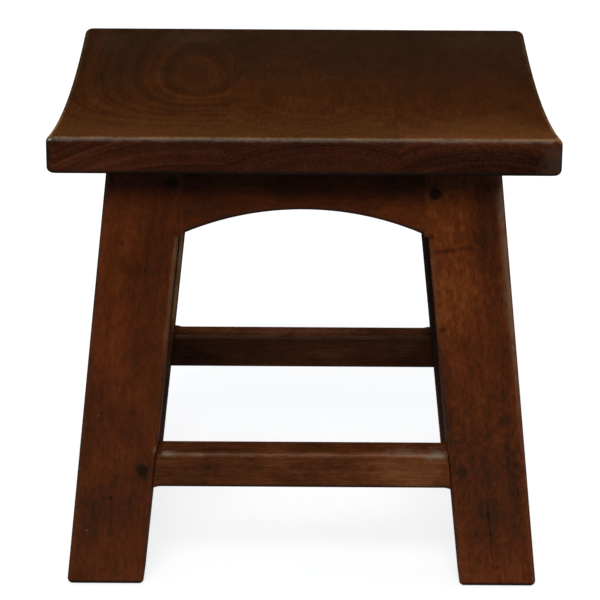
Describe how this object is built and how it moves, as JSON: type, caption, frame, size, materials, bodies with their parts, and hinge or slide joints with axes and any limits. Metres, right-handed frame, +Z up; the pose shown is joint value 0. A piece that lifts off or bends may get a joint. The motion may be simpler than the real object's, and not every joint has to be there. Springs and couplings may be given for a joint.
{
  "type": "footstool",
  "caption": "Square wooden footstool with a seat dished from front to back, splayed legs, arched aprons and pegged stretchers.",
  "frame": {"origin": "on the floor, under the middle of the seat", "axes": "+Z up, front of the stool towards -Y, its right side towards +X"},
  "size_m": [0.4, 0.4, 0.3927],
  "materials": {
    "seat_wood": "satin lacquer over dark reddish-brown stain",
    "frame_wood": "satin lacquer over dark reddish-brown stain",
    "peg_wood": "dark end grain, satin lacquer",
    "cleat_wood": "unstained, planed",
    "screw_steel": "zinc plated"
  },
  "bodies": {
    "root": {"seat_board_left": "seat_wood", "seat_board_middle": "seat_wood", "seat_board_right": "seat_wood", "leg_front_left": "frame_wood", "leg_front_right": "frame_wood", "leg_rear_left": "frame_wood", "leg_rear_right": "frame_wood", "apron_front": "frame_wood", "apron_rear": "frame_wood", "apron_left": "frame_wood", "apron_right": "frame_wood", "stretcher_front": "frame_wood", "stretcher_rear": "frame_wood", "stretcher_left": "frame_wood", "stretcher_right": "frame_wood", "apron_front_pegs": "peg_wood", "apron_rear_pegs": "peg_wood", "apron_left_pegs": "peg_wood", "apron_right_pegs": "peg_wood", "stretcher_front_pegs": "peg_wood", "stretcher_rear_pegs": "peg_wood", "stretcher_left_pegs": "peg_wood", "stretcher_right_pegs": "peg_wood", "cleat_front": "cleat_wood", "cleat_rear": "cleat_wood", "cleat_screws": "screw_steel", "seat_screws": "screw_steel"}
  },
  "joints": []
}
